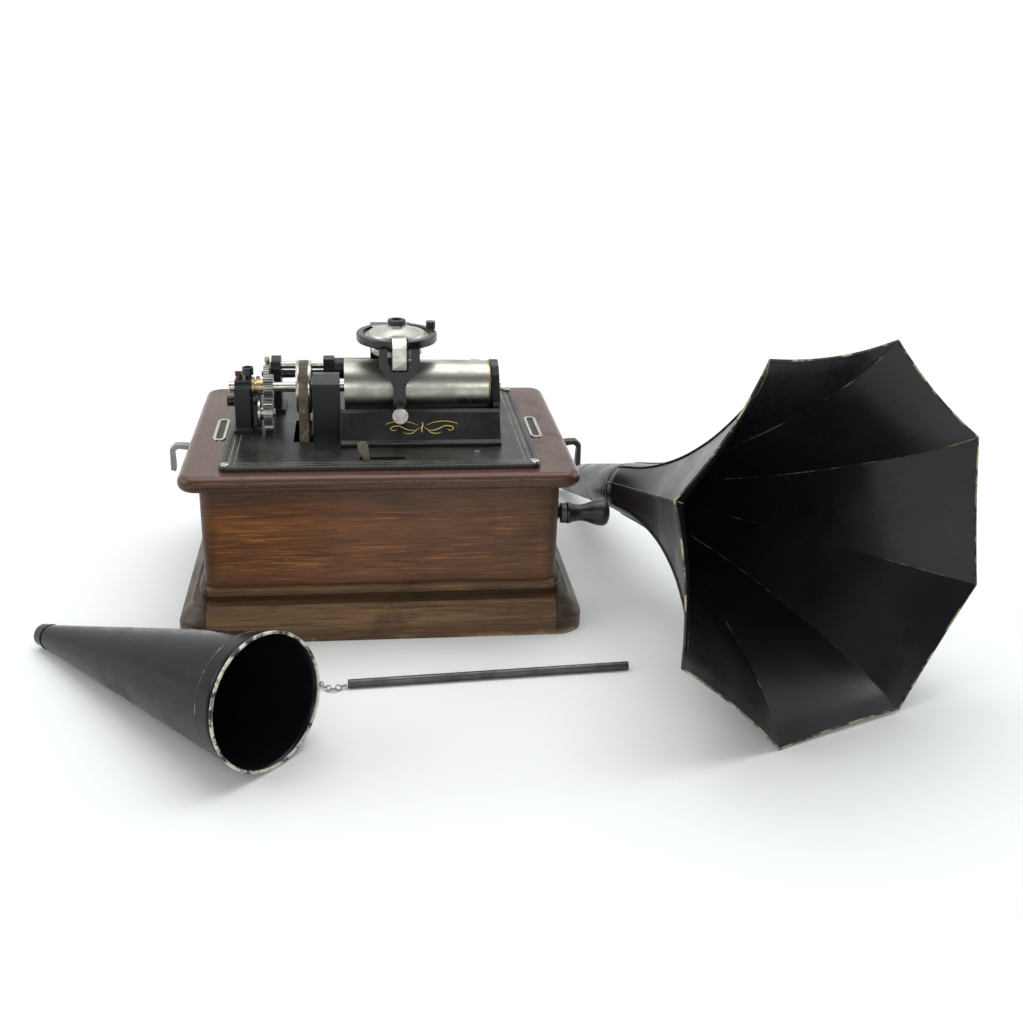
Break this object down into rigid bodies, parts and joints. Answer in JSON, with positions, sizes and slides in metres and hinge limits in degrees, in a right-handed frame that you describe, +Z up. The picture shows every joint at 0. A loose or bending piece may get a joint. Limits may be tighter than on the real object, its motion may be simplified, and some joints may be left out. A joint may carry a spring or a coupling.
{
  "type": "wind-up phonograph",
  "caption": "Table-top spring-driven cylinder phonograph in an oak case, with crank, mandrel and reproducer, and a panelled horn, a conical horn and a crane rod lying beside it.",
  "frame": {"origin": "middle of the case's underside, on the floor", "axes": "+X to the crank side, +Y to the back of the case, +Z up; the start lever is on the -Y side"},
  "size_m": [0.7153, 0.5259, 0.2714],
  "materials": {
    "oak_front": "oiled quarter oak, orange brown, worn",
    "oak_rim": "dark varnished oak, glossy rounded edge",
    "oak_plinth": "worn yellow-brown oak",
    "pine": "plain inside board",
    "japan": "black japanned iron, satin",
    "black_enamel": "gloss black enamel",
    "nickel": "aged nickel plate",
    "steel": "turned steel",
    "dark_steel": "blued and oiled steel",
    "brass": "aged brass",
    "leather": "worn leather belt",
    "rubber": "black rubber",
    "dark_wood": "ebonised turned wood",
    "horn_black": "black enamelled tin, gold lines",
    "frame_iron": "grey-black cast iron"
  },
  "bodies": {
    "case": {"plinth": "oak_plinth", "case_front": "oak_front", "case_back": "oak_front", "case_left": "oak_front", "case_right": "oak_front", "case_bottom": "pine", "top_rim": "oak_rim", "bedplate": "japan", "plate_screws": "nickel", "catch_plates": "nickel", "left_pedestal": "japan", "oil_cup": "black_enamel", "post_screws": "dark_steel", "rear_pedestal_left": "japan", "rear_pedestal_right": "japan", "back_rod": "nickel", "centre_pedestal": "japan", "front_casting": "japan", "drive_belt": "leather", "idler_bracket": "japan", "motor_frame": "frame_iron", "crank_bushing": "brass", "hook_brackets": "dark_steel"},
    "crank": {"crank": "dark_steel", "crank_pinion": "dark_steel"},
    "crank_grip": {"crank_handle": "dark_wood"},
    "winding": {"winding_gear": "brass"},
    "barrel": {"spring_barrel": "dark_steel", "great_gear": "brass"},
    "layshaft": {"layshaft": "steel", "motor_pulley": "nickel"},
    "governor": {"governor": "brass"},
    "mandrel": {"mandrel": "nickel", "mandrel_end_ring": "brass", "mandrel_shaft": "nickel", "belt_pulley": "nickel", "mandrel_gear": "steel", "mandrel_hub": "brass"},
    "lower_idler": {"lower_idler": "steel"},
    "upper_idler": {"upper_idler": "steel"},
    "feed_screw": {"feed_screw": "dark_steel", "feed_gear": "brass"},
    "carriage": {"carriage_sleeve": "black_enamel", "carriage_block": "black_enamel"},
    "carrier_arm": {"carrier_arm": "black_enamel", "reproducer_disc": "nickel", "reproducer_neck": "rubber", "clamp_screw": "black_enamel"},
    "floating_weight": {"floating_weight": "nickel"},
    "lift_knob": {"lift_knob": "nickel"},
    "end_gate": {"end_gate": "black_enamel", "gate_pin": "nickel"},
    "start_lever": {"start_lever": "nickel"},
    "hook_left": {"hook_left": "nickel"},
    "hook_right": {"hook_right": "dark_steel"},
    "horn": {"horn_bell": "horn_black", "horn_tube": "horn_black"},
    "small_horn": {"small_horn": "horn_black"},
    "crane": {"crane_rod": "dark_steel", "chain": "steel"}
  },
  "joints": [
    {"name": "crank_spin", "type": "hinge", "parent": "case", "child": "crank", "pos_m": [0.1496, -0.044, 0.07464], "axis": [1, 0, 0], "continuous": true},
    {"name": "grip_spin", "type": "hinge", "parent": "crank", "child": "crank_grip", "pos_m": [0.17, -0.07999, 0.08682], "axis": [1, 0, 0], "continuous": true},
    {"name": "winding_spin", "type": "hinge", "parent": "case", "child": "winding", "pos_m": [0.039, 0.0085, 0.062], "axis": [1, 0, 0], "continuous": true},
    {"name": "barrel_spin", "type": "hinge", "parent": "case", "child": "barrel", "pos_m": [0, 0.0085, 0.062], "axis": [1, 0, 0], "continuous": true},
    {"name": "layshaft_spin", "type": "hinge", "parent": "case", "child": "layshaft", "pos_m": [-0.0625, -0.044, 0.062], "axis": [1, 0, 0], "continuous": true},
    {"name": "governor_spin", "type": "hinge", "parent": "case", "child": "governor", "pos_m": [0.008, -0.06998, 0.047], "axis": [1, 0, 0], "continuous": true},
    {"name": "mandrel_spin", "type": "hinge", "parent": "case", "child": "mandrel", "pos_m": [0.032, -0.004, 0.174], "axis": [1, 0, 0], "continuous": true},
    {"name": "lower_idler_spin", "type": "hinge", "parent": "case", "child": "lower_idler", "pos_m": [-0.092, -0.0095, 0.1531], "axis": [1, 0, 0], "continuous": true},
    {"name": "upper_idler_spin", "type": "hinge", "parent": "case", "child": "upper_idler", "pos_m": [-0.095, 0.02027, 0.16891], "axis": [1, 0, 0], "continuous": true},
    {"name": "feed_screw_spin", "type": "hinge", "parent": "case", "child": "feed_screw", "pos_m": [0, 0.045, 0.1708], "axis": [1, 0, 0], "continuous": true},
    {"name": "carriage_slide", "type": "slide", "parent": "case", "child": "carriage", "axis": [1, 0, 0], "range_m": [-0.033, 0.05]},
    {"name": "arm_tilt", "type": "hinge", "parent": "carriage", "child": "carrier_arm", "pos_m": [0.015, 0.045, 0.1756], "axis": [-1, 0, 0], "range_deg": [0, 60]},
    {"name": "weight_float", "type": "hinge", "parent": "carrier_arm", "child": "floating_weight", "pos_m": [0.015, -0.03, 0.2219], "axis": [1, 0, 0], "range_deg": [0, 3]},
    {"name": "lift_turn", "type": "hinge", "parent": "carrier_arm", "child": "lift_knob", "pos_m": [0.0162, -0.05, 0.1624], "axis": [0, -1, 0], "range_deg": [-90, 90]},
    {"name": "gate_swing", "type": "hinge", "parent": "case", "child": "end_gate", "pos_m": [0.097, 0.045, 0.16], "axis": [0, 0, 1], "range_deg": [0, 100]},
    {"name": "start_swing", "type": "hinge", "parent": "case", "child": "start_lever", "pos_m": [0.0007, -0.0862, 0.0986], "axis": [0, 1, 0], "range_deg": [0, 34]},
    {"name": "hook_left_swing", "type": "hinge", "parent": "case", "child": "hook_left", "pos_m": [-0.148, 0.0095, 0.1153], "axis": [0, -1, 0], "range_deg": [0, 28]},
    {"name": "hook_right_swing", "type": "hinge", "parent": "case", "child": "hook_right", "pos_m": [0.148, 0.0095, 0.1153], "axis": [0, 1, 0], "range_deg": [0, 28]},
    {"name": "horn_lift", "type": "slide", "parent": "case", "child": "horn", "axis": [0, 0, 1], "range_m": [0, 0.3]},
    {"name": "small_horn_lift", "type": "slide", "parent": "case", "child": "small_horn", "axis": [0, 0, 1], "range_m": [0, 0.3]},
    {"name": "crane_lift", "type": "slide", "parent": "case", "child": "crane", "axis": [0, 0, 1], "range_m": [0, 0.3]}
  ],
  "couplings": [
    {"joint": "winding_spin", "follows": "crank_spin", "ratio": -0.33333},
    {"joint": "layshaft_spin", "follows": "mandrel_spin", "ratio": 1.2812},
    {"joint": "barrel_spin", "follows": "mandrel_spin", "ratio": -0.21354},
    {"joint": "governor_spin", "follows": "mandrel_spin", "ratio": -5.125},
    {"joint": "lower_idler_spin", "follows": "mandrel_spin", "ratio": -0.8},
    {"joint": "upper_idler_spin", "follows": "mandrel_spin", "ratio": -0.63158},
    {"joint": "feed_screw_spin", "follows": "mandrel_spin", "ratio": 1}
  ]
}
